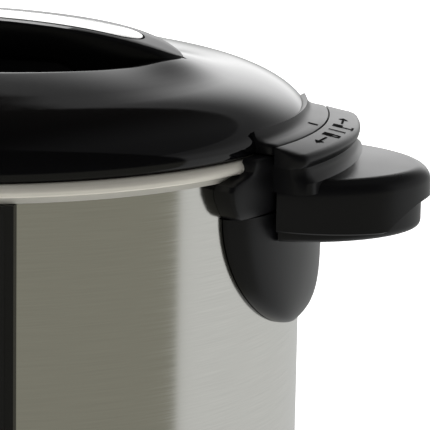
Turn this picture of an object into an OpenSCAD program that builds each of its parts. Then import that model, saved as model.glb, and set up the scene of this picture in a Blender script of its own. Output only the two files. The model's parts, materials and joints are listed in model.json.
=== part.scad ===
// Electric pressure cooker: brushed housing, locking dome lid, inner pot and two side handles.
// Origin on the body's axis, on the surface it stands on. +X is the right handle, -Y the front.

/* [Body] */
// Outer radius of the brushed housing
body_r = 125; // [104:1:150]
// Height of the steel rim's top above the surface it stands on
rim_z = 252; // [220:1:303]
// Thickness of the housing sheet
housing_t = 0.8; // [0.6:0.1:1.5]
// Height of the foot pads
foot_h = 6; // [4:0.5:9]
// Radius of a foot pad
foot_r = 11; // [8:0.5:14]
// Height of the plastic base tray
base_h = 38; // [36:1:50]
// Wall of the base tray
base_t = 3; // [2.5:0.1:4]

/* [Rim and pots] */
// How far the steel lip stands out past the housing
lip_out = 3; // [2:0.5:4]
// Height of the steel lip
lip_h = 4.1; // [3.5:0.1:5]
// Height of the grey collar that shows under the lip
collar_h = 2.7; // [2:0.1:4]
// Gap from the housing's outside to the inner pot's wall
pot_gap = 15.5; // [15:0.5:20]
// Inside depth of the inner pot
pot_depth = 150; // [120:1:160]
// Wall of the inner pot
pot_wall = 1.2; // [1:0.1:2]
// Wall of the outer pot
outer_wall = 1.5; // [1.2:0.1:2]
// Number of locking lugs round the rim
lug_count = 6; // [4:1:8]
// Thickness of a locking lug
lug_t = 3; // [2.5:0.1:3.5]

/* [Lid] */
// How far the lid's edge stands out past the housing
lid_out = 2.5; // [2:0.1:3]
// Height of the lid's shoulder above its edge
dome_h = 21.2; // [18:0.1:26]
// Shell thickness of the lid cover
lid_t = 3; // [2.5:0.1:3.5]
// Half length of the finger recess
recess_x = 78.6; // [66:0.1:86]
// Half width of the finger recess
recess_y = 65; // [56:0.1:70]
// Half width of the lid's handle bar
bar_w = 16; // [12:0.5:18]
// Height of the bar's top above the rim
bar_top = 39; // [36:0.5:46]
// Height of the bar at its middle
bar_h = 15; // [12:0.5:16]
// Half angle of the lid's ears and of the label ledges
ear_a = 19.5; // [15:0.5:22]

/* [Side handles] */
// Length of the grip past the housing
grip_out = 49.5; // [40:0.5:60]
// Half width of the grip
grip_w = 43; // [36:0.5:48]
// Height of the grip's skirt
grip_h = 19; // [16:0.5:24]
// Half width of the shield under the grip
shield_w = 58.4; // [48:0.1:62]
// Height of the shield
shield_h = 47; // [38:0.5:60]

/* [Front panel] */
// Half width of the control panel
panel_w = 56; // [52:0.5:60]
// Height of the control panel
panel_h = 150; // [140:1:160]
// Radius of the panel's lower corners
panel_corner = 34; // [20:1:40]
// Radius of a key
key_r = 7.5; // [6:0.1:8.5]

/* [Valves and cup] */
// Radius of the steam valve's knob
valve_r = 10.5; // [9:0.1:12]
// Radius of the float valve's stem
float_r = 2.6; // [2:0.1:3]
// Width of the condensation cup
cup_w = 48; // [40:1:60]
// Depth of the condensation cup
cup_d = 22; // [18:1:28]
// Height of the condensation cup
cup_h = 46; // [36:1:56]

/* [Hidden] */
$fn = 96;
eps = 0.01;
run_gap = 0.06;      // round a stem that slides or turns in a hole
free_gap = 0.3;      // between faces of pieces that move past each other
fit_gap = 0.15;      // round a fixed piece in its hole
lug_gap = 0.6;       // round a locking lug, radially
base_top = foot_h + base_h;
collar_z = rim_z - lip_h;
housing_top = collar_z - collar_h;
lip_r = body_r + lip_out;
collar_r = body_r + 1;
channel_r = body_r - 5;                 // inside of the channel the lid's lugs turn in
lug_in_r = channel_r - 4.5;             // the rim's lugs reach in to here
plate_r = lug_in_r - lug_gap;           // edge of the lid's pressure plate
pot_r = body_r - pot_gap;
outer_pot_r = pot_r + 1.5;
lid_lug_z = rim_z - lug_t - 0.35 - lug_t;
seal_h = 3.65;
pot_rim_z = lid_lug_z - seal_h;         // top of the inner pot's rim, under the seal
pot_rim_t = 2;
seat_z = pot_rim_z - pot_rim_t - 0.5;
pot_floor_t = 3;
pot_z = pot_rim_z - pot_depth - pot_floor_t;
plate_t = 14;                           // heating plate
hot_r = pot_r - 24;
hot_z = pot_z - plate_t;
sensor_r = 15;
frame_t = 3;
frame_r0 = hot_r - 18;
frame_r1 = hot_r - 3;
bridge_z = hot_z - outer_wall - 10;     // top of the strap under the sensor's spring
leg_count = 3;
foot_ring = body_r - 33;
lid_r = body_r + lid_out;
lid_z = rim_z + free_gap;
dome_break = lid_r * 0.7663;            // inside this radius the dome is a shallow crown
crown_k = 0.00128;
recess_z = rim_z + 8;                   // floor of the finger recess
recess_wall = 2;
recess_c = (recess_x * recess_x - recess_y * recess_y) / (2 * recess_y);
bar_x = recess_x + 4;
bar_drop = 12;                          // how much lower the bar's tips are than its middle
ear_r = lid_r + 7;
ledge_r0 = ear_r + 0.5;
ledge_r1 = ledge_r0 + 11.3;
grip_z = rim_z - 8;                     // top face of the grip
grip_c = body_r + 3;
grip_t = 3;
grip_round = 6;
bracket_r = body_r + 8;
bracket_z = rim_z - 20;
screw_a = 9.5;
stop_gap = 1.5;                         // clearance under the tray's centre stop
stop_r = 9;
skirt_h = 5.4;                          // how far the collar reaches down inside the housing
lid_rim = 3.2;                          // width of the lid's flat underside at its edge
over = 60;                              // height that clears everything above the rim
screw_z = bracket_z + 3.5;
under_gap = 0.4;
valve_at = [-64, 64];
float_at = [-23, 85];
pipe_r = 3.5;
panel_top = housing_top - 0.2;
panel_lift = 3;                         // how far the bezel stands out of the housing
window_w = 44;
window_h = 22;
window_z = panel_top - 30;
key_top = panel_top - 66;
key_pitch = 22;
key_a = 16;                             // angle between the columns of keys
board_r = body_r - 7;                   // front of the control board
keys = ["rice", "soup", "meat", "plus", "timer", "minus", "warm", "start", "cancel"];
cup_y = body_r + 4;
cup_z = rim_z - 92;
cup_t = 1.6;
inlet_z = foot_h + 7;
inlet_w = 30;
inlet_h = 22;
inlet_d = 18;
inlet_y = body_r + 2;

// ---- shared shapes

module ring(r0, r1, z0, z1) {
  rotate_extrude() translate([r0, z0]) square([r1 - r0, z1 - z0]);
}

// A piece of a revolved profile, centred on +X
module sector(half) {
  rotate([0, 0, -half]) rotate_extrude(angle = 2 * half) children();
}

// A flat outline (across, up) stood on the front and pushed out to the given radii
module wrap(r0, r1, z0, z1) {
  intersection() {
    ring(r0, r1, z0, z1);
    rotate([90, 0, 0]) linear_extrude(r1 + 5) children();
  }
}

module at_side(side) {
  rotate([0, 0, side > 0 ? 0 : 180]) children();
}

module both_sides() {
  for (a = [0, 180]) rotate([0, 0, a]) children();
}

// Puts its children on the axes of a handle's two screws, pointing out from inside the housing
module at_screws() {
  for (s = [-1, 1]) rotate([0, 0, s * screw_a]) translate([body_r - 3, 0, screw_z])
    rotate([0, 90, 0]) children();
}

// Height of the lid's outer surface above the lid's edge, at radius r
function dome(r) = r > dome_break
  ? 2.8 + dome_h * pow(sqrt(max(0, 1 - pow(r / lid_r, 5.064))), 1.218)
  : dome(dome_break + eps) + (dome_break * dome_break - r * r) * crown_k;
dome_steps = [0.14, 0.28, 0.42, 0.55, 0.67, 0.7663, 0.83, 0.88, 0.92, 0.95, 0.97, 0.985, 0.994, 1];
function dome_line(k, drop) = [for (s = dome_steps) [s * lid_r * k, max(0, dome(s * lid_r) - drop)]];

// Height of the bar's top edge above the rim, at x
function bar_line(x) = bar_top - 0.6 * bar_drop * pow(x / bar_x, 2) - 0.4 * bar_drop * pow(x / bar_x, 6);
// Half width of the bar in plan, at x
function bar_half(x) = 3 + (bar_w - 3) * pow(max(0, 1 - pow(abs(x) / bar_x, 5)), 0.6);

// ---- base

module base_tray() color([0.07, 0.07, 0.08]) difference() {
  rotate_extrude() polygon([
    [0, stop_gap], [stop_r, stop_gap], [stop_r + 3, foot_h], [body_r - 12, foot_h],
    [body_r - 6, foot_h + 2], [body_r - 1, foot_h + 8],
    [body_r + 1, foot_h + 18], [body_r + 1, base_top], [body_r - housing_t - fit_gap, base_top],
    [body_r - housing_t - fit_gap, base_top + 8], [body_r - 3.5, base_top + 8],
    [body_r - 3.5, base_top - 6], [body_r + 1 - base_t, base_top - 12],
    [body_r + 1 - base_t, foot_h + 19], [body_r - 3 - base_t, foot_h + 10],
    [body_r - 12, foot_h + base_t], [stop_r + 2, foot_h + base_t],
    [stop_r - 1, stop_gap + base_t], [0, stop_gap + base_t]]);
  for (i = [0:3]) rotate([0, 0, 45 + 90 * i]) translate([foot_ring, 0, 0])
    cylinder(r = 4, h = foot_h + 20);
  for (i = [0:11]) rotate([0, 0, 30 * i + 15])
    translate([frame_r0 - 34, -2, foot_h - 1]) cube([26, 4, base_t + 2]);
  for (i = [0:leg_count - 1]) rotate([0, 0, 360 / leg_count * i + 90])
    translate([frame_r1 - 6, 0, 0]) cylinder(r = 2.1, h = foot_h + 20);
  translate([-inlet_w / 2, body_r - inlet_d, inlet_z]) cube([inlet_w, inlet_d + 10, inlet_h]);
}

module foot(i) color([0.16, 0.16, 0.16]) rotate([0, 0, 45 + 90 * (i - 1)])
  translate([foot_ring, 0, 0]) rotate_extrude() polygon([
    [0, 0], [foot_r - 1.5, 0], [foot_r, 1.5], [foot_r - 1, foot_h], [3.85, foot_h],
    [3.85, foot_h + base_t], [5.5, foot_h + base_t], [4.5, foot_h + base_t + 2.5],
    [0, foot_h + base_t + 2.5]]);

module support_frame() color([0.62, 0.63, 0.64]) {
  difference() {
    union() {
      ring(frame_r0, frame_r1, hot_z - outer_wall - frame_t, hot_z - outer_wall);
      translate([-frame_r0 - 6, -9, bridge_z - 2]) cube([2 * frame_r0 + 12, 18, 2]);
      for (s = [-1, 1]) translate([s * (frame_r0 + 5) - 1, -9, bridge_z - 2])
        cube([2, 18, hot_z - outer_wall - bridge_z + 1]);
      for (i = [0:leg_count - 1]) rotate([0, 0, 360 / leg_count * i + 90]) {
        translate([frame_r1 - 14, -10, foot_h + base_t + frame_t])
          cube([frame_t, 20, hot_z - outer_wall - frame_t - foot_h - base_t - frame_t + eps]);
        translate([frame_r1 - 14, -10, foot_h + base_t]) cube([18, 20, frame_t + eps]);
      }
    }
    for (i = [0:leg_count - 1]) rotate([0, 0, 360 / leg_count * i + 90])
      translate([frame_r1 - 6, 0, foot_h + base_t - 1]) cylinder(r = 2.1, h = 8);
  }
}

module base_screws() color([0.7, 0.7, 0.72])
  for (i = [0:leg_count - 1]) rotate([0, 0, 360 / leg_count * i + 90])
    translate([frame_r1 - 6, 0, foot_h - 2.4]) {
      cylinder(r = 4, h = 2.4);
      cylinder(r = 2, h = base_t + frame_t + 4);
    }

module pressure_switch() color([0.85, 0.83, 0.75]) translate([-12, -frame_r1 + 3, 0]) {
  translate([0, 0, hot_z - outer_wall - frame_t - 16]) cube([24, 12, 16]);
  translate([6, 3, hot_z - outer_wall - frame_t - 20]) cube([3, 1, 4 + eps]);
  translate([15, 3, hot_z - outer_wall - frame_t - 20]) cube([3, 1, 4 + eps]);
}

module power_board() color([0.1, 0.35, 0.2]) translate([-37, -60, foot_h + base_t]) {
  for (x = [4, 70], y = [4, 40]) translate([x, y, 0]) cylinder(r = 3, h = 5 + eps);
  translate([0, 0, 5]) cube([74, 44, 1.6]);
  translate([6, 8, 6.6 - eps]) cube([20, 16, 15]);
  translate([32, 8, 6.6 - eps]) cube([24, 20, 18]);
  translate([64, 12, 6.6 - eps]) cylinder(r = 6, h = 20);
  translate([12, 34, 6.6 - eps]) cube([30, 4, 10]);
}

// ---- housing and pots

module housing_shell() color([0.72, 0.71, 0.68]) difference() {
  ring(body_r - housing_t, body_r, base_top, housing_top);
  rotate([90, 0, 0]) linear_extrude(body_r + 5) panel_outline(12);
  both_sides() at_screws() cylinder(r = 2.1, h = 20);
}

module trim_collar() color([0.5, 0.5, 0.5]) rotate_extrude() polygon([
  [channel_r + outer_wall + 0.3, collar_z], [collar_r, collar_z], [collar_r, housing_top],
  [body_r - housing_t - fit_gap, housing_top], [body_r - housing_t - fit_gap, housing_top - skirt_h],
  [body_r - 2.6, housing_top - skirt_h], [body_r - 2.6, housing_top - 1],
  [channel_r + outer_wall + 0.3, housing_top + 0.5]]);

module outer_pot() color([0.82, 0.81, 0.78]) {
  rotate_extrude() polygon([
    [channel_r, rim_z], [lip_r - 1.6, rim_z], [lip_r - 0.5, rim_z - 0.5], [lip_r, rim_z - 1.6],
    [lip_r, rim_z - lip_h + 1.6], [lip_r - 0.5, rim_z - lip_h + 0.5], [lip_r - 1.6, collar_z],
    [channel_r + outer_wall, collar_z], [channel_r + outer_wall, seat_z - outer_wall],
    [outer_pot_r + outer_wall, seat_z - outer_wall], [outer_pot_r + outer_wall, hot_z + 6],
    [outer_pot_r - 6, hot_z - outer_wall], [frame_r0 + 2, hot_z - outer_wall],
    [frame_r0 + 2, hot_z], [outer_pot_r - 6.6, hot_z], [outer_pot_r, hot_z + 6.6],
    [outer_pot_r, seat_z], [channel_r, seat_z]]);
  for (i = [0:lug_count - 1]) rotate([0, 0, 360 / lug_count * (i + 0.5)])
    sector(90 / lug_count - 2) translate([lug_in_r, rim_z - lug_t])
      square([channel_r - lug_in_r + 0.7, lug_t - 0.2]);
}

module inner_pot() color([0.86, 0.86, 0.85]) rotate_extrude() polygon([
  [0, pot_z], [pot_r - 14, pot_z], [pot_r - 6, pot_z + 2.5], [pot_r - 1.6, pot_z + 8],
  [pot_r, pot_z + 15], [pot_r, pot_rim_z - pot_rim_t], [plate_r - 0.3, pot_rim_z - pot_rim_t],
  [plate_r - 0.3, pot_rim_z], [pot_r - pot_wall, pot_rim_z],
  [pot_r - pot_wall, pot_z + 15.5], [pot_r - pot_wall - 1.8, pot_z + 9],
  [pot_r - pot_wall - 6, pot_z + 4.4], [pot_r - pot_wall - 13, pot_z + pot_floor_t],
  [0, pot_z + pot_floor_t]]);

module heating_plate() color([0.75, 0.75, 0.76]) rotate_extrude() polygon([
  [sensor_r + 1, hot_z], [hot_r, hot_z], [hot_r, pot_z - 2], [hot_r - 2, pot_z],
  [sensor_r + 1, pot_z]]);

module heating_element() color([0.45, 0.43, 0.42]) rotate([0, 0, 120]) {
  rotate_extrude(angle = 300) translate([hot_r - 34, hot_z - 4]) {
    circle(r = 3.6, $fn = 32);
    translate([-3.6, 0]) square([7.2, 4]);
  }
  for (a = [1.5, 298.5]) rotate([0, 0, a]) translate([hot_r - 34, 0, hot_z - 16])
    cylinder(r = 2, h = 10);
}

module sensor_cup() color([0.8, 0.8, 0.82]) rotate_extrude() polygon([
  [0, pot_z - 2], [sensor_r - 2, pot_z - 2], [sensor_r - 2, hot_z + 2],
  [sensor_r, hot_z + 2], [sensor_r, pot_z - 0.5], [sensor_r - 0.5, pot_z - 0.05],
  [0, pot_z - 0.05]]);

// A wire coil of the given radius that stands between z0 and z1
module coil(r, wire, z0, z1, turns) {
  sides = 8;
  steps = 20 * turns;
  pts = [for (i = [0:steps], j = [0:sides - 1])
    let(a = 360 * turns * i / steps, b = 360 * j / sides,
        rr = r + wire * cos(b), z = z0 + wire + (z1 - z0 - 2 * wire) * i / steps + wire * sin(b))
    [rr * cos(a), rr * sin(a), z]];
  sides_f = [for (i = [0:steps - 1], j = [0:sides - 1]) let(k = (j + 1) % sides)
    [i * sides + j, (i + 1) * sides + j, (i + 1) * sides + k, i * sides + k]];
  ends = [[for (j = [0:sides - 1]) j], [for (j = [0:sides - 1]) steps * sides + sides - 1 - j]];
  polyhedron(points = pts, faces = concat(sides_f, ends));
}

module sensor_spring() color([0.6, 0.6, 0.62]) {
  coil(8, 0.7, bridge_z, pot_z - 2.05, 5);
}

// ---- front panel

module panel_outline(inset) {
  w = panel_w - inset;
  c = max(4, panel_corner - inset);
  top = panel_top - inset;
  low = panel_top - panel_h + inset;
  translate([-w, low + c]) square([2 * w, top - low - c]);
  translate([-w + c, low]) square([2 * w - 2 * c, c + eps]);
  for (s = [-1, 1]) translate([s * (w - c), low + c]) circle(r = c);
}

module window_outline(grow) {
  translate([-window_w / 2 - grow, window_z - window_h / 2 - grow])
    square([window_w + 2 * grow, window_h + 2 * grow]);
}

// Puts its children on the axis of key i, pointing out of the panel
module at_key(i) {
  rotate([0, 0, (i % 3 - 1) * key_a - 90]) translate([0, 0, key_top - floor(i / 3) * key_pitch])
    rotate([0, 90, 0]) children();
}

module key_holes(gap) {
  for (i = [0:len(keys) - 1]) at_key(i) translate([0, 0, body_r - 8]) cylinder(r = key_r + gap, h = 20);
}

module panel_bezel() color([0.05, 0.05, 0.055]) difference() {
  wrap(body_r, body_r + panel_lift, base_top, housing_top) panel_outline(0);
  wrap(body_r + 1.4, body_r + 6, base_top, housing_top + 5) panel_outline(2.5);
  wrap(body_r - 2, body_r + 6, base_top, housing_top) window_outline(0.2);
  key_holes(0.4);
}

module panel_overlay() color([0.03, 0.03, 0.035]) difference() {
  wrap(body_r + 1.4, body_r + panel_lift - 0.4, base_top, housing_top) panel_outline(2.6);
  wrap(body_r, body_r + 6, base_top, housing_top) window_outline(0.2);
  key_holes(0.4);
}

module display_window() color([0.15, 0.02, 0.02])
  wrap(body_r + 0.2, body_r + panel_lift - 0.4, base_top, housing_top) window_outline(0);

module display_module() color([0.2, 0.2, 0.2])
  translate([-window_w / 2, -(body_r - 2), window_z - window_h / 2]) cube([window_w, 5, window_h]);

module control_board() color([0.08, 0.4, 0.22]) {
  for (c = [-1:1]) rotate([0, 0, c * key_a - 90])
    translate([board_r - 1.6, c == 0 ? -15 : -8.5, panel_top - panel_h + 26])
      cube([1.6, c == 0 ? 30 : 17, c == 0 ? panel_h - 45 : 80]);
  for (i = [0:len(keys) - 1]) at_key(i) translate([-3, -3, board_r - eps]) cube([6, 6, 1.2]);
}

module key(i) color([0.2, 0.2, 0.21]) at_key(i) {
  translate([0, 0, body_r - 3]) cylinder(r = key_r, h = panel_lift + 3.2);
  translate([0, 0, body_r - 4.4]) cylinder(r = key_r + 1.6, h = 1.8);
}

// ---- power inlet

module inlet_blades() {
  for (p = [[-7, 6.5], [0, 10.5], [7, 6.5]])
    translate([p[0] - 1, inlet_y - inlet_d - 8, inlet_z + p[1]]) cube([2, inlet_d + 3, 4]);
}

module power_inlet() color([0.04, 0.04, 0.04]) difference() {
  translate([-inlet_w / 2, inlet_y - inlet_d - 2, inlet_z]) cube([inlet_w, inlet_d + 2, inlet_h]);
  translate([-inlet_w / 2 + 3, inlet_y - inlet_d + 2, inlet_z + 3])
    cube([inlet_w - 6, inlet_d, inlet_h - 6]);
  inlet_blades();
}

module inlet_pins() color([0.85, 0.85, 0.86]) inlet_blades();

// ---- side handles

function oval(w, l, p, n) = [for (i = [0:n]) let(a = -90 + 180 * i / n, c = abs(cos(a)), s = abs(sin(a)))
  [l * pow(c, 2 / p), sign(sin(a)) * w * pow(s, 2 / p)]];

// One level of the grip: its plan outline drawn in by an inset, at height z, dropping by slope
function grip_ring(inset, z, slope) = [for (p = oval(grip_w - inset, grip_out - 3 - inset, 1.8, 32))
  [grip_c + p[0], p[1], z - slope * p[0]]];

// A closed solid through rings of equally many points, listed from the bottom up
module loft(rings) {
  n = len(rings[0]);
  m = len(rings);
  walls = [for (i = [0:m - 2], j = [0:n - 1]) let(k = (j + 1) % n, a = i * n, b = a + n)
    each [[a + j, b + j, b + k], [a + j, b + k, a + k]]];
  low = [for (j = [1:n - 2]) [0, j, j + 1]];
  top = [for (j = [1:n - 2]) [(m - 1) * n, (m - 1) * n + j + 1, (m - 1) * n + j]];
  polyhedron(points = [for (r = rings) each r], faces = concat(walls, low, top));
}

module grip_solid(inset, top, low, round) {
  loft([grip_ring(inset, low, 0.05), for (a = [0:15:90])
    grip_ring(inset + round * (1 - cos(a)), top - round + round * sin(a), 0)]);
}

module handle(side) color([0.055, 0.055, 0.06]) at_side(side) difference() {
  union() {
    sector(28) polygon([
      [body_r, housing_top], [bracket_r, housing_top], [bracket_r, bracket_z + 2],
      [bracket_r - 1.5, bracket_z], [body_r, bracket_z]]);
    sector(23.7) polygon([
      [lip_r + 0.2, rim_z + 0.8], [ledge_r0, rim_z + 0.8], [ledge_r0, housing_top - 1],
      [collar_r + 0.2, housing_top - 1], [collar_r + 0.2, collar_z - 0.3], [lip_r + 0.2, collar_z - 0.3]]);
    sector(ear_a) polygon([
      [ledge_r0 - 3, rim_z], [ledge_r0, rim_z + 0.8], [ledge_r0, rim_z + 4],
      [ledge_r1 - 1.8, rim_z + 2.1], [ledge_r1 - 0.4, rim_z + 1.2], [ledge_r1, rim_z],
      [ledge_r1 - 0.3, rim_z - 1.6], [ledge_r1 - 1.8, rim_z - 2.7], [ledge_r1 - 1, rim_z - 4.6],
      [ledge_r1 + 1.2, rim_z - 8.6], [ledge_r1 + 1.2, rim_z - 10], [ledge_r0 - 3, rim_z - 10]]);
    difference() {
      grip_solid(0, grip_z, grip_z - grip_h, grip_round);
      ring(0, bracket_r - 1, 0, rim_z + 20);
      difference() {
        grip_solid(grip_t, grip_z - grip_t, grip_z - grip_h - 5, grip_round - grip_t);
        ring(0, bracket_r + grip_t, 0, rim_z + 20);
      }
      translate([grip_c + grip_out - 14, 0, grip_z - grip_h - 13.5]) rotate([0, 90, 0])
        cylinder(r = 24, h = 30);
    }
  }
  at_screws() cylinder(r = 2, h = 8.5);
}

module grip_under(side) color([0.05, 0.05, 0.05]) at_side(side) difference() {
  grip_solid(grip_t + under_gap, grip_z - grip_t - under_gap, grip_z - grip_h - 2, 2.6);
  ring(0, bracket_r + grip_t + under_gap, 0, rim_z + 20);
}

module shield(side) color([0.06, 0.06, 0.065]) at_side(side) intersection() {
  rotate_extrude() polygon([
    [body_r, bracket_z], [bracket_r - 1.5, bracket_z], [body_r + 7.6, bracket_z - 12],
    [body_r + 7.5, bracket_z - 0.64 * shield_h], [body_r + 6.2, bracket_z - 0.85 * shield_h],
    [body_r + 3.2, bracket_z - 0.975 * shield_h], [body_r, bracket_z - shield_h]]);
  translate([body_r - 30, 0, bracket_z]) rotate([90, 0, 90]) linear_extrude(over)
    polygon([for (i = [0:40]) let(a = 180 * i / 40)
      [shield_w * cos(a), -shield_h * pow(sin(a), 2 / 1.9)]]);
}

module handle_screws() color([0.7, 0.7, 0.72]) both_sides() at_screws() {
  cylinder(r = 2, h = 8.5);
  cylinder(r = 3.6, h = 1.6);
}

// ---- condensation cup at the back

module cup_bracket() color([0.07, 0.07, 0.07]) difference() {
  union() {
    translate([-cup_w / 2 - 5, body_r - 8, cup_z + 8]) cube([cup_w + 10, 11.6, cup_h - 2]);
    for (s = [-1, 1]) translate([s * (cup_w / 2 + 3.5) - 1.5, body_r, cup_z + 8])
      cube([3, 12, cup_h - 2]);
    translate([-8, body_r, cup_z + cup_h + 2.6]) cube([16, 10, 3.4]);
  }
  ring(0, body_r, 0, rim_z);
}

module condensation_cup() color([0.75, 0.78, 0.8, 0.5]) difference() {
  union() {
    translate([-cup_w / 2, cup_y, cup_z]) cube([cup_w, cup_d, cup_h]);
    translate([-cup_w / 2 + 8, cup_y + cup_d - eps, cup_z + 14]) cube([cup_w - 16, 3, 6]);
  }
  translate([-cup_w / 2 + cup_t, cup_y + cup_t, cup_z + cup_t])
    cube([cup_w - 2 * cup_t, cup_d - 2 * cup_t, cup_h]);
}

// ---- lid

module recess_plan(grow) {
  r = recess_y + recess_c + grow;
  intersection() {
    translate([0, recess_c]) circle(r = r);
    translate([0, -recess_c]) circle(r = r);
  }
}

module bar_plan(grow) {
  pts = [for (i = [-20:20]) let(x = bar_x * i / 20) [x, bar_half(x) + grow]];
  polygon(concat(pts, [for (i = [-20:20]) let(x = -bar_x * i / 20) [x, -bar_half(x) - grow]]));
}

module valve_well(at, r, z0, z1) {
  translate([at[0], at[1], z0]) cylinder(r = r, h = z1 - z0);
}

module lid_cover() color([0.03, 0.03, 0.035]) difference() {
  union() {
    difference() {
      union() {
        translate([0, 0, lid_z]) rotate_extrude() polygon(concat(
          [[0, dome(0)]], dome_line(1, 0),
          [[lid_r - 0.3, 0.6], [lid_r - 1.1, 0], [lid_r - lid_rim, 0], [0, 0]]));
        both_sides() sector(ear_a) polygon([
          [lid_r - 4, lid_z + 1.2], [ear_r - 0.5, lid_z + 0.9], [ear_r, lid_z + 1.5],
          [ear_r, lid_z + 3.6], [ear_r - 0.5, lid_z + 4.1], [lid_r + 1.2, lid_z + 5.2],
          [lid_r - 0.4, lid_z + 6.4], [lid_r - 1.2, lid_z + 8.4], [lid_r - 4, lid_z + 10]]);
      }
      translate([0, 0, lid_z - eps]) rotate_extrude() polygon(concat(
        [[0, 0], [0, dome(0) - lid_t]], dome_line(1 - lid_rim / lid_r, lid_t),
        [[lid_r - lid_rim, 0]]));
      translate([0, 0, rim_z + 1]) linear_extrude(over) recess_plan(0);
    }
    translate([0, 0, recess_z - recess_wall]) linear_extrude(recess_wall) recess_plan(recess_wall);
    intersection() {
      translate([0, 0, recess_z - eps]) linear_extrude(over) difference() {
        recess_plan(recess_wall);
        recess_plan(0);
      }
      translate([0, 0, lid_z]) rotate_extrude() polygon(concat(
        [[0, 0], [0, dome(0) - 0.5]], dome_line(1 - 0.5 / lid_r, 0.5)));
    }
    intersection() {
      union() {
        valve_well(valve_at, valve_r + 5.5, rim_z + 10, rim_z + 40);
        valve_well(float_at, 8.5, rim_z + 10, rim_z + 40);
      }
      translate([0, 0, lid_z]) rotate_extrude() polygon(concat(
        [[0, 0], [0, dome(0) - 0.5]], dome_line(1 - 0.5 / lid_r, 0.5)));
    }
  }
  bar_solid();
  valve_well(valve_at, valve_r + 3.5, rim_z + 12, rim_z + over);
  valve_well(valve_at, pipe_r + 3, rim_z, rim_z + over);
  valve_well(float_at, 6, rim_z + 12, rim_z + over);
  valve_well(float_at, 4.5, rim_z, rim_z + over);
}

module bar_solid() {
  foot_x = bar_x * 0.8;
  arch_x = bar_x * 0.64;
  intersection() {
    translate([0, 0, rim_z - 1]) linear_extrude(over) bar_plan(0);
    translate([0, bar_w + 5, rim_z]) rotate([90, 0, 0]) linear_extrude(2 * bar_w + 10)
      polygon(concat(
        [for (i = [-20:20]) let(x = bar_x * i / 20) [x, bar_line(x)]],
        [[bar_x, 20], [foot_x + 6, 8], [foot_x, 8], [arch_x, 20], [arch_x * 0.7, bar_top - bar_h],
         [-arch_x * 0.7, bar_top - bar_h], [-arch_x, 20], [-foot_x, 8], [-foot_x - 6, 8],
         [-bar_x, 20]]));
  }
}

module inlay_plan(grow) {
  half = bar_x - 15;
  w = bar_w - 7;
  translate([-half + w, -w - grow]) square([2 * half - 2 * w, 2 * w + 2 * grow]);
  for (s = [-1, 1]) translate([s * (half - w), 0]) circle(r = w + grow);
}

module inlay_solid(grow, drop, lift) {
  intersection() {
    translate([0, 0, rim_z + 10]) linear_extrude(over) inlay_plan(grow);
    translate([0, bar_w + 5, rim_z]) rotate([90, 0, 0]) linear_extrude(2 * bar_w + 10)
      polygon(concat(
        [for (i = [-20:20]) let(x = bar_x * i / 20) [x, bar_line(x) + lift]],
        [for (i = [-20:20]) let(x = -bar_x * i / 20) [x, bar_line(x) - drop]]));
  }
}

module lid_handle() color([0.06, 0.06, 0.06]) difference() {
  bar_solid();
  inlay_solid(0.5, 1.2, 1);
}

module handle_inlay() color([0.8, 0.8, 0.79]) inlay_solid(0, 1.2, 0.2);

module lid_plate() color([0.8, 0.8, 0.79]) difference() {
  union() {
    rotate_extrude() polygon([
      [0, rim_z + 4], [pot_r - 5, rim_z + 4], [pot_r - 5, lid_lug_z + lug_t],
      [plate_r, lid_lug_z + lug_t], [plate_r, lid_lug_z], [pot_r - 7, lid_lug_z],
      [pot_r - 7, rim_z + 2], [0, rim_z + 2]]);
    for (i = [0:lug_count - 1]) rotate([0, 0, 360 / lug_count * (i + 0.5)])
      sector(90 / lug_count - 3) translate([plate_r - 1, lid_lug_z])
        square([channel_r - lug_gap - plate_r + 1, lug_t]);
  }
  valve_well(valve_at, pipe_r, rim_z - 10, rim_z + 20);
  valve_well(float_at, float_r + run_gap, rim_z - 10, rim_z + 20);
  translate([0, 0, rim_z]) cylinder(r = 4, h = 10);
}

module sealing_ring() color([0.85, 0.84, 0.8])
  ring(pot_r - 4.7, plate_r - 1, pot_rim_z + 0.1, lid_lug_z - 0.1);

module ring_support() color([0.8, 0.8, 0.8]) {
  rotate_extrude() translate([pot_r - 8.5, lid_lug_z - 4]) circle(r = 1.2, $fn = 24);
  for (i = [0:5]) rotate([0, 0, 60 * i + 20])
    translate([pot_r - 9.5, -1, lid_lug_z - 4]) cube([2, 2, rim_z + 2 - lid_lug_z + 4]);
}

module lid_nut() color([0.75, 0.75, 0.75]) {
  translate([0, 0, rim_z - 2]) cylinder(r = 8, h = 4, $fn = 6);
  translate([0, 0, rim_z - 2]) cylinder(r = 4, h = recess_z - recess_wall - rim_z + 2);
}

module lid_screws() color([0.7, 0.7, 0.72])
  for (s = [-1, 1]) translate([s * bar_x * 0.83, 0, rim_z + 4]) {
    cylinder(r = 3.4, h = 1.6);
    cylinder(r = 1.6, h = recess_z - recess_wall - rim_z - 4);
  }

module exhaust_pipe() color([0.78, 0.78, 0.79]) translate([valve_at[0], valve_at[1], 0]) difference() {
  union() {
    translate([0, 0, rim_z - 6]) cylinder(r = pipe_r, h = 34);
    translate([0, 0, rim_z + 4]) cylinder(r = pipe_r + 2.2, h = 4, $fn = 6);
  }
  translate([0, 0, rim_z - 7]) cylinder(r = 1.5, h = 40);
}

module anti_block_cap() color([0.7, 0.7, 0.71])
  translate([valve_at[0], valve_at[1], rim_z - 10]) difference() {
  cylinder(r = 9, h = 12);
  translate([0, 0, 1.2]) cylinder(r = 7.8, h = 12);
  for (i = [0:5]) rotate([0, 0, 60 * i]) translate([6, -1.5, 3]) cube([6, 3, 5]);
}

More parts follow.
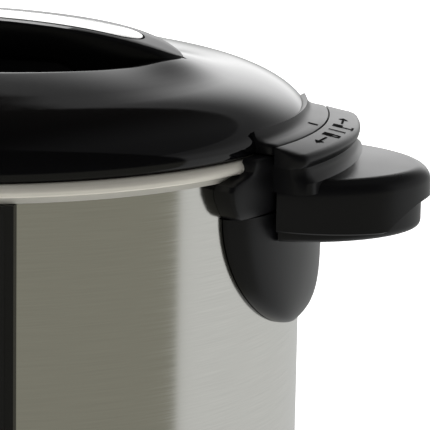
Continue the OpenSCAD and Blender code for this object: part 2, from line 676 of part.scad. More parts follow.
module steam_valve() color([0.08, 0.08, 0.08]) translate([valve_at[0], valve_at[1], 0]) difference() {
  union() {
    translate([0, 0, rim_z + 16]) cylinder(r = valve_r, h = 18);
    translate([0, 0, rim_z + 16]) cylinder(r = pipe_r + 4, h = 20);
    rotate([0, 0, 135]) translate([0, -5, rim_z + 29]) cube([26, 10, 5]);
  }
  translate([0, 0, rim_z + 15]) cylinder(r = pipe_r + run_gap, h = 14);
}

module float_valve() color([0.75, 0.1, 0.08]) translate([float_at[0], float_at[1], 0]) {
  translate([0, 0, rim_z - 3]) cylinder(r = float_r, h = 19);
  translate([0, 0, rim_z + 15]) cylinder(r = 4.2, h = 3);
}

module float_cap() color([0.8, 0.8, 0.78]) translate([float_at[0], float_at[1], rim_z - 6.5])
  cylinder(r = 5, h = 3.5);

module lock_slider() color([0.85, 0.85, 0.83]) difference() {
  translate([float_at[0] + 8, float_at[1] - 5, rim_z + 4.4]) cube([30, 10, 2]);
  translate([float_at[0] + 26, float_at[1], rim_z]) cylinder(r = 2.2, h = 10);
}

base_tray();
foot(1);  // foot_1
foot(2);  // foot_2
foot(3);  // foot_3
foot(4);  // foot_4
housing_shell();
trim_collar();
outer_pot();
inner_pot();
heating_plate();
heating_element();
support_frame();
pressure_switch();
power_board();
control_board();
display_module();
panel_bezel();
panel_overlay();
display_window();
key(0);  // key_rice
key(1);  // key_soup
key(2);  // key_meat
key(3);  // key_plus
key(4);  // key_timer
key(5);  // key_minus
key(6);  // key_warm
key(7);  // key_start
key(8);  // key_cancel
power_inlet();
inlet_pins();
handle(1);  // handle_right
handle(-1);  // handle_left
grip_under(1);  // grip_under_right
grip_under(-1);  // grip_under_left
shield(1);  // shield_right
shield(-1);  // shield_left
handle_screws();
base_screws();
cup_bracket();
condensation_cup();
sensor_cup();
sensor_spring();
lid_cover();
lid_handle();
handle_inlay();
lid_plate();
ring_support();
sealing_ring();
lid_nut();
exhaust_pipe();
anti_block_cap();
steam_valve();
float_valve();
float_cap();
lock_slider();
lid_screws();
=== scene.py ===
"""Looks of a round countertop pressure cooker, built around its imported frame."""
import json
import math

import bmesh
import bpy
from mathutils import Matrix, Vector


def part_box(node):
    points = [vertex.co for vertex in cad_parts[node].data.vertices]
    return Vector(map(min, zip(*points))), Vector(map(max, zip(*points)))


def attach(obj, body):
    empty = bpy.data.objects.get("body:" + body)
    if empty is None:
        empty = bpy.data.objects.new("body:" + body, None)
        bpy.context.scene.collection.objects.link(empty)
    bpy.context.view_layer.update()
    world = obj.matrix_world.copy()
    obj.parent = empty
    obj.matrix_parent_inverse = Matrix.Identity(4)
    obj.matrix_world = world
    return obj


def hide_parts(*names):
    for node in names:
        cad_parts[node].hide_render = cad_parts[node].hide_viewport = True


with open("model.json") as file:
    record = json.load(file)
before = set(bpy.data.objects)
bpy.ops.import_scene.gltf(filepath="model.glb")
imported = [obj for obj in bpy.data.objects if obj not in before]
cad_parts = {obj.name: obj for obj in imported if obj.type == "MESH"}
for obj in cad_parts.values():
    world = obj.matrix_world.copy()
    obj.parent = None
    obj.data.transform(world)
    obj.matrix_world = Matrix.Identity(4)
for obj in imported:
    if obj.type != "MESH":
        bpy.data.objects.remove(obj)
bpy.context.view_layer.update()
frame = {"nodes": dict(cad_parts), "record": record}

bl_info = {
    "name": "Pressure Cooker Builder",
    "version": (1, 0, 0),
    "blender": (4, 5, 0),
    "location": "View3D > Sidebar > Cooker",
    "description": "Builds the lid, handles, rim and finishes of a pressure cooker on its frame",
    "category": "Add Mesh",
}

MM = 0.001
RIM_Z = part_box("outer_pot")[1].z
BODY_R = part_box("housing_shell")[1].x
LID_R = BODY_R + 2.5 * MM
SHELL_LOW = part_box("housing_shell")[0].z
SHELL_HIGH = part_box("housing_shell")[1].z
BAR_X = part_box("lid_handle")[1].x
BAR_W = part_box("lid_handle")[1].y
BAR_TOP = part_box("lid_handle")[1].z - RIM_Z
GRIP_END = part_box("handle_right")[1].x
GRIP_W = 43 * MM
EAR_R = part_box("lid_cover")[1].x
EAR_ANGLE = math.radians(19.5)
LID_Z = RIM_Z + 0.3 * MM                # underside of the lid's edge
LID_T = 3 * MM                          # thickness of the dome
DOME_BREAK = 0.7663                     # share of the lid's radius where the dome turns into its shoulder
GRIP_START = BODY_R + 3 * MM            # inner side of a grip
INLAY_W = BAR_W - 7 * MM                # half width of the bar's inlay
BAR_DROP = 12 * MM                      # how much lower the bar's tips are than its middle
INK = 0.08 * MM                         # thickness of a printed mark


class CookerSizes(bpy.types.PropertyGroup):
    """Shapes that the frame leaves to the looks."""
    lid_steps: bpy.props.IntProperty(
        name="Lid steps", description="Points round the lid", default=288, min=96)
    dome_h: bpy.props.FloatProperty(
        name="Shoulder height", description="Height of the lid's shoulder above its edge",
        default=21.2 * MM, unit="LENGTH")
    recess_x: bpy.props.FloatProperty(
        name="Recess half length", description="Reach of the finger recess to its pointed ends",
        default=78.6 * MM, unit="LENGTH")
    recess_y: bpy.props.FloatProperty(
        name="Recess half width", description="Reach of the finger recess to the front and back",
        default=65 * MM, unit="LENGTH")
    recess_floor: bpy.props.FloatProperty(
        name="Recess floor", description="Height of the recess's floor above the rim",
        default=8.2 * MM, unit="LENGTH")
    ledge_in: bpy.props.FloatProperty(
        name="Ledge inner radius", description="Where the label ledge starts",
        default=EAR_R + 0.5 * MM, unit="LENGTH")
    ledge_out: bpy.props.FloatProperty(
        name="Ledge outer radius", description="Where the label ledge ends",
        default=EAR_R + 11.8 * MM, unit="LENGTH")
    grip_z: bpy.props.FloatProperty(
        name="Grip top", description="Depth of the grip's top face under the rim",
        default=8 * MM, unit="LENGTH")
    shield_h: bpy.props.FloatProperty(
        name="Shield height", description="Height of the shield under the grip",
        default=47 * MM, unit="LENGTH")


class CookerFinish(bpy.types.PropertyGroup):
    """Colours of the cooker's finishes."""
    black: bpy.props.FloatVectorProperty(
        name="Black plastic", description="Moulded parts", subtype="COLOR",
        default=(0.0045, 0.0045, 0.005), min=0, max=1)
    gloss: bpy.props.FloatVectorProperty(
        name="Polished black", description="Lid and panel", subtype="COLOR",
        default=(0.003, 0.003, 0.0035), min=0, max=1)
    steel: bpy.props.FloatVectorProperty(
        name="Brushed steel", description="Housing", subtype="COLOR",
        default=(0.85, 0.84, 0.80), min=0, max=1)
    bright: bpy.props.FloatVectorProperty(
        name="Polished steel", description="Lip and pots", subtype="COLOR",
        default=(0.92, 0.90, 0.85), min=0, max=1)
    grey: bpy.props.FloatVectorProperty(
        name="Grey plastic", description="Collar", subtype="COLOR",
        default=(0.42, 0.41, 0.37), min=0, max=1)
    mark: bpy.props.FloatVectorProperty(
        name="Printed mark", description="Marks on the ledge and ear", subtype="COLOR",
        default=(0.003, 0.003, 0.003), min=0, max=1)


def sizes():
    return bpy.context.scene.cooker_sizes


def finish():
    return bpy.context.scene.cooker_finish


# ---- meshes

def loft(name, rings, body, material, caps=True, flat_angle=32):
    """A skin through rings of equally many points, closed round each ring and at both ends."""
    count = len(rings[0])
    bm = bmesh.new()
    loop = bmesh.ops.create_circle(bm, cap_ends=False, segments=count, radius=1)["verts"]
    edges = list(bm.edges)
    order = ring_order(loop)
    place(order, rings[0])
    first = edges
    for ring in rings[1:]:
        made = bmesh.ops.extrude_edge_only(bm, edges=edges)["geom"]
        fresh = {g for g in made if isinstance(g, bmesh.types.BMVert)}
        edges = [g for g in made if isinstance(g, bmesh.types.BMEdge) and fresh.issuperset(g.verts)]
        follow = {}
        for old in order:
            for edge in old.link_edges:
                other = edge.other_vert(old)
                if other in fresh:
                    follow[old] = other
        order = [follow[old] for old in order]
        place(order, ring)
    if caps:
        bmesh.ops.holes_fill(bm, edges=first, sides=0)
        bmesh.ops.holes_fill(bm, edges=edges, sides=0)
    return finish_mesh(name, bm, body, material, flat_angle)


def ring_order(verts):
    """The points of a circle in order round it."""
    return sorted(verts, key=lambda v: math.atan2(v.co.y, v.co.x) % (2 * math.pi))


def place(verts, points):
    for vert, point in zip(verts, points):
        vert.co = point


def finish_mesh(name, bm, body, material, flat_angle=32):
    """Cleans a bmesh, makes it an object that rides on a body, and gives it its finish."""
    bmesh.ops.remove_doubles(bm, verts=bm.verts, dist=0.002 * MM)
    bmesh.ops.recalc_face_normals(bm, faces=bm.faces)
    for face in bm.faces:
        face.smooth = True
    for edge in bm.edges:
        if len(edge.link_faces) == 2 and edge.calc_face_angle(0) > math.radians(flat_angle):
            edge.smooth = False
    mesh = bpy.data.meshes.new(name)
    bm.to_mesh(mesh)
    bm.free()
    piece = bpy.data.objects.new(name, mesh)
    context_link(piece)
    mesh.materials.append(material)
    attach(piece, body)
    return piece


def lathe(name, profile, body, material, steps=256, flat_angle=32):
    """A closed profile of (radius, height) turned a full round."""
    bm = bmesh.new()
    verts = [bm.verts.new((r, 0, z)) for r, z in profile]
    edges = [bm.edges.new((verts[i], verts[(i + 1) % len(verts)])) for i in range(len(verts))]
    bmesh.ops.spin(bm, geom=verts + edges, cent=(0, 0, 0), axis=(0, 0, 1), dvec=(0, 0, 0),
                   angle=2 * math.pi, steps=steps, use_merge=True, use_duplicate=False)
    return finish_mesh(name, bm, body, material, flat_angle)


def polar(radius, angle, z):
    return Vector((radius * math.cos(angle), radius * math.sin(angle), z))


def turned(points, side):
    """Points of the right handle, or the same points turned half a round for the left one."""
    if side > 0:
        return points
    return [Vector((-p.x, -p.y, p.z)) for p in points]


# ---- finishes

def new_material(name, colour, rough, metal=0.0, spec=0.5):
    mat = bpy.data.materials.new(name)
    mat.use_nodes = True
    shader = mat.node_tree.nodes["Principled BSDF"]
    shader.inputs["Base Color"].default_value = (*colour, 1)
    shader.inputs["Roughness"].default_value = rough
    shader.inputs["Metallic"].default_value = metal
    shader.inputs["Specular IOR Level"].default_value = spec
    return mat, mat.node_tree, shader


def noise(tree, vector, scale, detail=3.0):
    node = tree.nodes.new("ShaderNodeTexNoise")
    node.inputs["Scale"].default_value = scale
    node.inputs["Detail"].default_value = detail
    tree.links.new(vector, node.inputs["Vector"])
    return node.outputs["Fac"]


def object_coords(tree, stretch=(1, 1, 1)):
    coords = tree.nodes.new("ShaderNodeTexCoord")
    mapping = tree.nodes.new("ShaderNodeMapping")
    mapping.inputs["Scale"].default_value = stretch
    tree.links.new(coords.outputs["Object"], mapping.inputs["Vector"])
    return mapping.outputs["Vector"]


def round_coords(tree, round_scale, up_scale):
    """Coordinates that run round the body and up it, with the seam at the back."""
    coords = tree.nodes.new("ShaderNodeTexCoord")
    split = tree.nodes.new("ShaderNodeSeparateXYZ")
    tree.links.new(coords.outputs["Object"], split.inputs["Vector"])
    back = math_node(tree, "MULTIPLY", split.outputs["Y"], -1.0)
    angle = math_node(tree, "ARCTAN2", split.outputs["X"], back)
    along = math_node(tree, "MULTIPLY", angle, round_scale)
    up = math_node(tree, "MULTIPLY", split.outputs["Z"], up_scale)
    join = tree.nodes.new("ShaderNodeCombineXYZ")
    tree.links.new(along, join.inputs["X"])
    tree.links.new(up, join.inputs["Z"])
    return join.outputs["Vector"]


def math_node(tree, operation, first, second):
    node = tree.nodes.new("ShaderNodeMath")
    node.operation = operation
    for socket, value in zip(node.inputs, (first, second)):
        if isinstance(value, float):
            socket.default_value = value
        else:
            tree.links.new(value, socket)
    return node.outputs[0]


def vary(tree, shader, factor, socket, low, high):
    """Drives a socket between two values by a pattern."""
    ramp = tree.nodes.new("ShaderNodeMapRange")
    ramp.inputs["From Min"].default_value = 0.3
    ramp.inputs["From Max"].default_value = 0.7
    ramp.inputs["To Min"].default_value = low
    ramp.inputs["To Max"].default_value = high
    tree.links.new(factor, ramp.inputs["Value"])
    tree.links.new(ramp.outputs["Result"], shader.inputs[socket])


def tint(tree, shader, factor, dark, light):
    ramp = tree.nodes.new("ShaderNodeValToRGB")
    ramp.color_ramp.elements[0].position = 0.3
    ramp.color_ramp.elements[1].position = 0.7
    ramp.color_ramp.elements[0].color = (*dark, 1)
    ramp.color_ramp.elements[1].color = (*light, 1)
    tree.links.new(factor, ramp.inputs["Fac"])
    tree.links.new(ramp.outputs["Color"], shader.inputs["Base Color"])


def bump(tree, shader, height, strength, distance):
    node = tree.nodes.new("ShaderNodeBump")
    node.inputs["Strength"].default_value = strength
    node.inputs["Distance"].default_value = distance
    tree.links.new(height, node.inputs["Height"])
    tree.links.new(node.outputs["Normal"], shader.inputs["Normal"])


def shade(colour, factor):
    return tuple(min(1, c * factor) for c in colour)


def moulded(name, colour, rough, grain=0.04, scale=2200.0, spec=0.3):
    """Moulded plastic with a fine spark-eroded grain and a slow change of sheen."""
    mat, tree, shader = new_material(name, colour, rough, spec=spec)
    fine = noise(tree, object_coords(tree), scale, 2.0)
    slow = noise(tree, object_coords(tree), 18.0, 3.0)
    vary(tree, shader, slow, "Roughness", rough * 0.9, min(1, rough * 1.15))
    tint(tree, shader, slow, shade(colour, 0.88), shade(colour, 1.15))
    bump(tree, shader, fine, grain, 0.1 * MM)
    return mat


def polished_plastic(name, colour, rough=0.06):
    """Polished plastic with slight ripple and dust-fine variation."""
    mat, tree, shader = new_material(name, colour, rough)
    slow = noise(tree, object_coords(tree), 9.0, 2.0)
    fine = noise(tree, object_coords(tree), 350.0, 4.0)
    vary(tree, shader, fine, "Roughness", rough * 0.8, rough * 1.5)
    tint(tree, shader, slow, shade(colour, 0.9), shade(colour, 1.1))
    bump(tree, shader, fine, 0.015, 0.05 * MM)
    return mat


def brushed(name, colour, rough, round_scale=5.0, up_scale=2600.0, depth=0.05):
    """Steel brushed round the body: fine lines that run round, with a slow change of tone."""
    mat, tree, shader = new_material(name, colour, rough, metal=1.0)
    lines = noise(tree, round_coords(tree, round_scale, up_scale), 1.0, 5.0)
    vary(tree, shader, lines, "Roughness", rough * 0.82, rough * 1.25)
    tint(tree, shader, lines, shade(colour, 0.95), shade(colour, 1.04))
    bump(tree, shader, lines, depth, 0.02 * MM)
    return mat


def spun(name, colour, rough, metal=1.0):
    """Polished steel with faint turning marks."""
    mat, tree, shader = new_material(name, colour, rough, metal=metal)
    marks = noise(tree, round_coords(tree, 1.5, 1600.0), 1.0, 3.0)
    vary(tree, shader, marks, "Roughness", rough * 0.8, rough * 1.3)
    tint(tree, shader, marks, shade(colour, 0.94), shade(colour, 1.04))
    bump(tree, shader, marks, 0.05, 0.02 * MM)
    return mat


def cast(name, colour, rough, metal=1.0):
    """Cast or plated metal with a grainy skin."""
    mat, tree, shader = new_material(name, colour, rough, metal=metal)
    grain = noise(tree, object_coords(tree), 700.0, 4.0)
    vary(tree, shader, grain, "Roughness", rough * 0.8, rough * 1.3)
    tint(tree, shader, grain, shade(colour, 0.85), shade(colour, 1.1))
    bump(tree, shader, grain, 0.12, 0.08 * MM)
    return mat


def clear_plastic(name):
    mat, tree, shader = new_material(name, (0.72, 0.76, 0.78), 0.12)
    shader.inputs["Transmission Weight"].default_value = 0.85
    shader.inputs["IOR"].default_value = 1.46
    haze = noise(tree, object_coords(tree), 120.0, 3.0)
    vary(tree, shader, haze, "Roughness", 0.08, 0.22)
    return mat


def glowing(name, colour, strength):
    mat, tree, shader = new_material(name, (0.02, 0.0, 0.0), 0.3)
    shader.inputs["Emission Color"].default_value = (*colour, 1)
    shader.inputs["Emission Strength"].default_value = strength
    flicker = noise(tree, object_coords(tree), 400.0, 2.0)
    vary(tree, shader, flicker, "Roughness", 0.25, 0.35)
    return mat


FINISHES = {}


def make_finishes():
    f = finish()
    black, gloss, steel = tuple(f.black), tuple(f.gloss), tuple(f.steel)
    bright, grey, mark = tuple(f.bright), tuple(f.grey), tuple(f.mark)
    FINISHES.update({
        "black_plastic": moulded("moulded_black", black, 0.33),
        "satin_black": moulded("satin_black", shade(black, 1.1), 0.3, 0.03),
        # The recess's colour, 0.6 of the moulded black, is painted shade for the hollow; its coarse grain
        # and higher roughness are its own.
        "recess_black": moulded("recess_black", shade(black, 0.6), 0.62, 0.35, 900.0),
        "gloss_black": polished_plastic("polished_black", gloss),
        "brushed_steel": brushed("brushed_steel", steel, 0.14),
        "polished_steel": spun("spun_steel", bright, 0.2),
        "lip_steel": spun("lip_steel", (0.74, 0.71, 0.63), 0.35, 0.3),
        "grey_plastic": moulded("collar_grey", grey, 0.4),
        "foot_rubber": moulded("foot_rubber", (0.03, 0.03, 0.03), 0.8, 0.3, 900.0),
        "silicone": moulded("seal_silicone", (0.62, 0.61, 0.58), 0.45),
        "cast_aluminium": cast("cast_aluminium", (0.6, 0.6, 0.61), 0.42),
        "zinc_steel": cast("zinc_steel", (0.55, 0.56, 0.57), 0.35),
        "heater": cast("heater_tube", (0.16, 0.14, 0.13), 0.5),
        "circuit": moulded("circuit_green", (0.01, 0.12, 0.05), 0.4, 0.1, 600.0),
        "panel_gloss": polished_plastic("panel_film", shade(gloss, 1.4), 0.1),
        "display_red": polished_plastic("display_glass", (0.03, 0.002, 0.002), 0.05),
        "key_grey": moulded("key_grey", (0.075, 0.075, 0.08), 0.3),
        "clear_plastic": clear_plastic("clear_plastic"),
        "inlay_silver": brushed("inlay_silver", (0.8, 0.8, 0.79), 0.24, 40.0, 60.0, 0.03),
        "float_red": moulded("float_red", (0.45, 0.02, 0.015), 0.3),
        "pin_metal": cast("blade_nickel", (0.75, 0.75, 0.76), 0.25),
        "switch_cream": moulded("switch_cream", (0.55, 0.5, 0.38), 0.45),
        "mark": moulded("printed_mark", mark, 0.8, spec=0.02),
        "digit": glowing("digit_red", (1.0, 0.05, 0.02), 3.0),
        "white_mark": moulded("printed_white", (0.6, 0.6, 0.6), 0.5),
    })


# ---- lid

def crown(radius):
    """Height of the dome above the lid's edge."""
    size = sizes()
    breaks = LID_R * DOME_BREAK
    if radius > breaks:
        slope = max(0.0, 1 - (radius / LID_R) ** 5.064) ** 0.5
        return 2.8 * MM + size.dome_h * slope ** 1.218
    top = crown(breaks * 1.0001)
    return top + (breaks ** 2 - radius ** 2) * 0.00128 / MM


def lid_height(x, y):
    """Height of the lid's outer surface, with the raised shoulders at the bar's ends."""
    radius = math.hypot(x, y)
    along = (abs(x) - BAR_X + 2 * MM) / (12 * MM)
    across = y / (22 * MM)
    bulge = 2.3 * MM * math.exp(-along * along) * math.exp(-across * across)
    return LID_Z + crown(min(radius, LID_R)) + bulge


def recess_radius(angle):
    """Reach of the finger recess from the axis: two arcs that meet in a point on each side."""
    size = sizes()
    offset = (size.recess_x ** 2 - size.recess_y ** 2) / (2 * size.recess_y)
    radius = size.recess_y + offset
    sine, cosine = abs(math.sin(angle)), math.cos(angle)
    reach = math.sqrt(radius ** 2 - (offset * cosine) ** 2) - offset * sine
    lean = math.degrees(math.asin(min(1, sine)))
    return reach + 5 * MM * math.exp(-lean / 2.5)


def lid_angles():
    """Angles round the lid, closer together near the recess's points."""
    steps = sizes().lid_steps
    out = []
    for i in range(steps):
        t = 2 * math.pi * i / steps
        out.append(t - 0.46 * math.sin(2 * t))
    return out


class COOKER_OT_lid(bpy.types.Operator):
    """Models the lid's dome with its finger recess"""
    bl_idname = "cooker.lid"
    bl_label = "Lid dome"

    def execute(self, context):
        angles = lid_angles()
        floor = RIM_Z + sizes().recess_floor

        def ring(shift, z):
            return [polar(recess_radius(a) + shift, a, z) for a in angles]

        def surface(share, drop=0.0, shift=0.0):
            points = []
            for a in angles:
                inner = recess_radius(a) + shift
                radius = inner + (LID_R * DOME_BREAK + 4 * MM - inner) * share
                point = polar(radius, a, 0)
                point.z = lid_height(point.x, point.y) - drop
                points.append(point)
            return points

        def hoop(radius, drop=0.0):
            points = []
            for a in angles:
                point = polar(radius, a, 0)
                point.z = lid_height(point.x, point.y) - drop
                points.append(point)
            return points

        rings = [surface(0, 1.1 * MM, -0.15 * MM), surface(0, 0.5 * MM, -0.02 * MM),
                 surface(0, 0.16 * MM, 0.3 * MM), surface(0, 0.02 * MM, 0.8 * MM)]
        rings += [surface(s) for s in (0.06, 0.12, 0.2, 0.3, 0.42, 0.56, 0.7, 0.85, 1)]
        rings += [hoop(LID_R * s) for s in (
            0.82, 0.845, 0.87, 0.895, 0.915, 0.935, 0.95, 0.962, 0.973, 0.982, 0.989, 0.994, 0.9975, 1)]
        rings += [[polar(r, a, z) for a in angles] for r, z in (
            (LID_R, LID_Z + 1.4 * MM), (LID_R - 0.15 * MM, LID_Z + 0.6 * MM),
            (LID_R - 0.5 * MM, LID_Z + 0.15 * MM), (LID_R - 1.1 * MM, LID_Z),
            (LID_R - 3.2 * MM, LID_Z), (LID_R - 3.2 * MM, LID_Z + 1.5 * MM))]
        rings += [hoop(LID_R * s, LID_T) for s in (0.965, 0.94, 0.9, 0.85, 0.79)]
        rings += [surface(s, LID_T, 1.6 * MM) for s in (0.6, 0.2, 0)]
        dome = loft("lid_dome", rings + [rings[0]], "lid", FINISHES["gloss_black"], caps=False)
        self.well(dome, "steam_valve", "steam_well", 3.2 * MM)
        self.well(dome, "float_cap", "float_well", 1.7 * MM)

        wall = [ring(-2 * MM, floor - 1.6 * MM), ring(1.5 * MM, floor - 1.6 * MM),
                surface(0, 1.2 * MM, 1.5 * MM), surface(0, 1.2 * MM, 0.0)]
        wall += [ring(-0.2 * MM, floor + 6 * MM), ring(-0.8 * MM, floor + 3 * MM),
                 ring(-2.2 * MM, floor + 0.9 * MM), ring(-4.5 * MM, floor)]
        # The recess's lining carries painted shade: its black is darker than the moulded black.
        bowl = loft("lid_recess", wall, "lid", FINISHES["recess_black"])
        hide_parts("lid_cover")
        return {"FINISHED"}

    def well(self, dome, node, name, gap):
        """Opens the dome round a valve and lines the opening with a stepped cup."""
        low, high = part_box(node)
        x, y = (low.x + high.x) / 2, (low.y + high.y) / 2
        radius = (high.x - low.x) / 2 + gap
        steps = 64

        def circle(r, z=None, drop=0.0):
            points = []
            for i in range(steps):
                spot = polar(r, 2 * math.pi * i / steps, 0) + Vector((x, y, 0))
                spot.z = lid_height(spot.x, spot.y) - drop if z is None else z
                points.append(spot)
            return points

        bm = bmesh.new()
        bmesh.ops.create_cone(bm, cap_ends=True, segments=steps, radius1=radius, radius2=radius,
                              depth=60 * MM, matrix=Matrix.Translation((x, y, RIM_Z + 35 * MM)))
        mesh = bpy.data.meshes.new("cutter")
        bm.to_mesh(mesh)
        bm.free()
        cutter = bpy.data.objects.new("cutter", mesh)
        context_link(cutter)
        cut = dome.modifiers.new("well", "BOOLEAN")
        cut.object = cutter
        cut.solver = "EXACT"
        bpy.context.view_layer.update()
        shown = dome.evaluated_get(bpy.context.evaluated_depsgraph_get())
        opened = bpy.data.meshes.new_from_object(shown)
        dome.modifiers.clear()
        dome.data = opened
        opened.name = "lid_dome"
        bpy.data.objects.remove(cutter)

        floor = RIM_Z + 12 * MM
        hole = radius * 0.62
        inside, outside, below = radius - 0.1 * MM, radius + 1.3 * MM, floor - 1.8 * MM
        rings = [circle(hole, floor), circle(radius - 1.2 * MM, floor), circle(inside, floor + 1.2 * MM),
                 circle(inside, drop=0.5 * MM), circle(outside, drop=0.8 * MM),
                 circle(outside, below), circle(hole, below)]
        cup = loft(name, rings + [rings[0]], "lid", FINISHES["black_plastic"], caps=False)


# ---- lid bar

def bar_line(x):
    """Height of the bar's top above the rim."""
    share = abs(x) / BAR_X
    return BAR_TOP - 0.6 * BAR_DROP * share ** 2 - 0.4 * BAR_DROP * share ** 6


def bar_half(x):
    """Half width of the bar, which narrows to its tips."""
    share = abs(x) / BAR_X
    return 3 * MM + (BAR_W - 3 * MM) * max(0.0, 1 - share ** 5) ** 0.6


class COOKER_OT_bar(bpy.types.Operator):
    """Models the arched bar across the recess"""
    bl_idname = "cooker.bar"
    bl_label = "Lid bar"

    def execute(self, context):
        stations = []
        for i in range(-60, 61):
            t = i / 60
            stations.append(BAR_X * math.sin(t * math.pi / 2))
        rings = [self.section(x) for x in stations]
        bar = loft("lid_bar", rings, "lid", FINISHES["satin_black"], flat_angle=28)
        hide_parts("lid_handle")
        self.inlay()
        return {"FINISHED"}

    def section(self, x):
        """Closed outline across the bar at x: crowned top, chamfered edges, sloping faces."""
        half = bar_half(x) - 0.02 * MM
        top = RIM_Z + bar_line(x) - 0.02 * MM
        share = abs(x) / BAR_X
        chamfer = (0.8 + 1.6 * share ** 4) * MM
        chamfer = min(chamfer, half * 0.6)
        low = RIM_Z + self.under(x)
        low = min(low, top - 2.5 * MM)
        draw = min(2.0 * MM, half * 0.3)
        right = [(half - chamfer * 1.1, top), (half - chamfer, top - 0.05 * MM),
                 (half - 0.1 * chamfer, top - 0.85 * chamfer), (half, top - chamfer - 0.2 * MM)]
        span = top - chamfer - low
        right += [(half - draw * s, top - chamfer - span * s) for s in (0.3, 0.6, 0.85)]
        right += [(half - draw - 1.2 * MM * min(1, half / BAR_W), low)]
        flat = [((half - chamfer * 1.1) * s, top) for s in (-0.5, 0, 0.5)]
        left = [(-y, z) for y, z in reversed(right)]
        outline = left + flat + right
        return [Vector((x, y, z)) for y, z in outline]

    def under(self, x):
        """Height of the bar's underside above the rim: an arch that comes down on feet."""
        share = abs(x) / BAR_X
        arch = BAR_TOP - 15 * MM
        if share < 0.45:
            return arch
        fall = min(1.0, (share - 0.45) / 0.37)
        smooth = fall * fall * (3 - 2 * fall)
        return arch + (8.4 * MM - arch) * smooth

    def inlay(self):
        """Silver plate on the bar's top with round ends, ringed by a thin near-black matte band: painted
        shade that stands for the groove round it.
        """
        # The first piece is painted shade: a flat near-black band in the matte printed-mark finish, laid
        # where the groove's shade falls.
        for name, grow, lift, material, slot in (
                ("groove_painted_shade", 0.9 * MM, 0.04 * MM, "mark", "black_plastic"),
                ("bar_inlay", 0.0, 0.2 * MM, "inlay_silver", "inlay_silver")):
            rings = []
            for drop, shrink in ((1.2, 0.0), (0.25, 0.0), (0.05, 0.08), (0.0, 0.3)):
                rings.append(self.oblong(INLAY_W + grow - shrink * MM, lift - drop * MM))
            inner = []
            for s in (0.85, 0.6, 0.35, 0.12):
                inner.append([Vector((p.x * s, p.y * s, RIM_Z + bar_line(p.x * s) + lift))
                              for p in rings[-1]])
            piece = loft(name, rings + inner, "lid", FINISHES[material])
            if name == "bar_inlay":
                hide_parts("handle_inlay")

    def oblong(self, width, lift):
        """Outline with two straight sides and round ends, laid on the bar's arch."""
        points = []
        flat, arc = 24, 16
        reach = BAR_X - 15 * MM - INLAY_W
        for i in range(arc):
            a = -math.pi / 2 + math.pi * i / arc
            points.append((reach + width * math.cos(a), width * math.sin(a)))
        for i in range(flat):
            points.append((reach - 2 * reach * i / flat, width))
        for i in range(arc):
            a = math.pi / 2 + math.pi * i / arc
            points.append((-reach + width * math.cos(a), width * math.sin(a)))
        for i in range(flat):
            points.append((-reach + 2 * reach * i / flat, -width))
        return [Vector((x, y, RIM_Z + bar_line(x) + lift)) for x, y in points]


# ---- swept sectors: ears, ledges, brackets

def swept(name, profile, half, outer_corner, body, material, side, steps=48, pivot=None):
    """A profile of (radius, height) carried round an arc, its outer reach drawn in at the ends."""
    inner = min(r for r, z in profile)
    outer = max(r for r, z in profile)
    pivot = inner if pivot is None else pivot
    rings = []
    for i in range(steps + 1):
        t = math.sin((i / steps - 0.5) * math.pi)
        angle = half * t
        left = (half - abs(angle)) * outer
        reach = outer
        if left < outer_corner:
            reach = outer - outer_corner + math.sqrt(
                max(0.0, outer_corner ** 2 - (outer_corner - left) ** 2))
        scale = (reach - pivot) / (outer - pivot)
        rings.append([polar(pivot + (r - pivot) * scale if r > pivot else r, angle, RIM_Z + z)
                      for r, z in profile])
    rings = [turned(ring, side) for ring in rings]
    return loft(name, rings, body, material)


class COOKER_OT_ears(bpy.types.Operator):
    """Models the lid's two ears with their index dash"""
    bl_idname = "cooker.ears"
    bl_label = "Lid ears"

    def execute(self, context):
        r, e = LID_R, EAR_R
        profile = [(r - 2.5 * MM, 1.5 * MM), (e - 0.6 * MM, 1.25 * MM), (e - 0.1 * MM, 1.7 * MM),
                   (e, 2.4 * MM), (e, 3.6 * MM), (e - 0.15 * MM, 4.2 * MM), (e - 0.6 * MM, 4.5 * MM),
                   (r + 3.6 * MM, 5.0 * MM), (r + 1.6 * MM, 5.5 * MM), (r + 0.5 * MM, 6.1 * MM),
                   (r - 0.3 * MM, 7.2 * MM), (r - 0.9 * MM, 8.8 * MM), (r - 2.5 * MM, 8.0 * MM)]
        for side, name in ((1, "right"), (-1, "left")):
            ear = swept("lid_ear_" + name, profile, EAR_ANGLE, 3.5 * MM, "lid",
                        FINISHES["satin_black"], side, pivot=r - 0.5 * MM)
            dash = mark_box("ear_dash_" + name, e - 4.8 * MM, e - 1.2 * MM, 0.9 * MM,
                            self.top_height, side, "lid")
        return {"FINISHED"}

    def top_height(self, radius):
        """Height of the ear's top above the rim, which steepens towards the dome."""
        flat = 4.5 * MM + (EAR_R - 0.6 * MM - radius) * 0.179
        steep = 5.0 * MM + (EAR_R - 3.4 * MM - radius) * 0.25
        return max(flat, steep)


def mark_box(name, r0, r1, half_width, height, side, body):
    """A thin printed bar laid along a radius, on a surface whose height follows the radius."""
    rings = []
    for lift in (0.0, INK):
        ring = []
        for r, y in ((r0, -1), (r0, 1), (r1, 1), (r1, -1)):
            ring.append(Vector((r, y * half_width, RIM_Z + height(r) + lift)))
        rings.append(turned(ring, side))
    return loft(name, rings, body, FINISHES["mark"])


def ledge_height(radius):
    """Height of the label ledge's sloping top above the rim."""
    size = sizes()
    share = (radius - size.ledge_in) / (size.ledge_out - size.ledge_in)
    return 4.0 * MM - 2.1 * MM * share


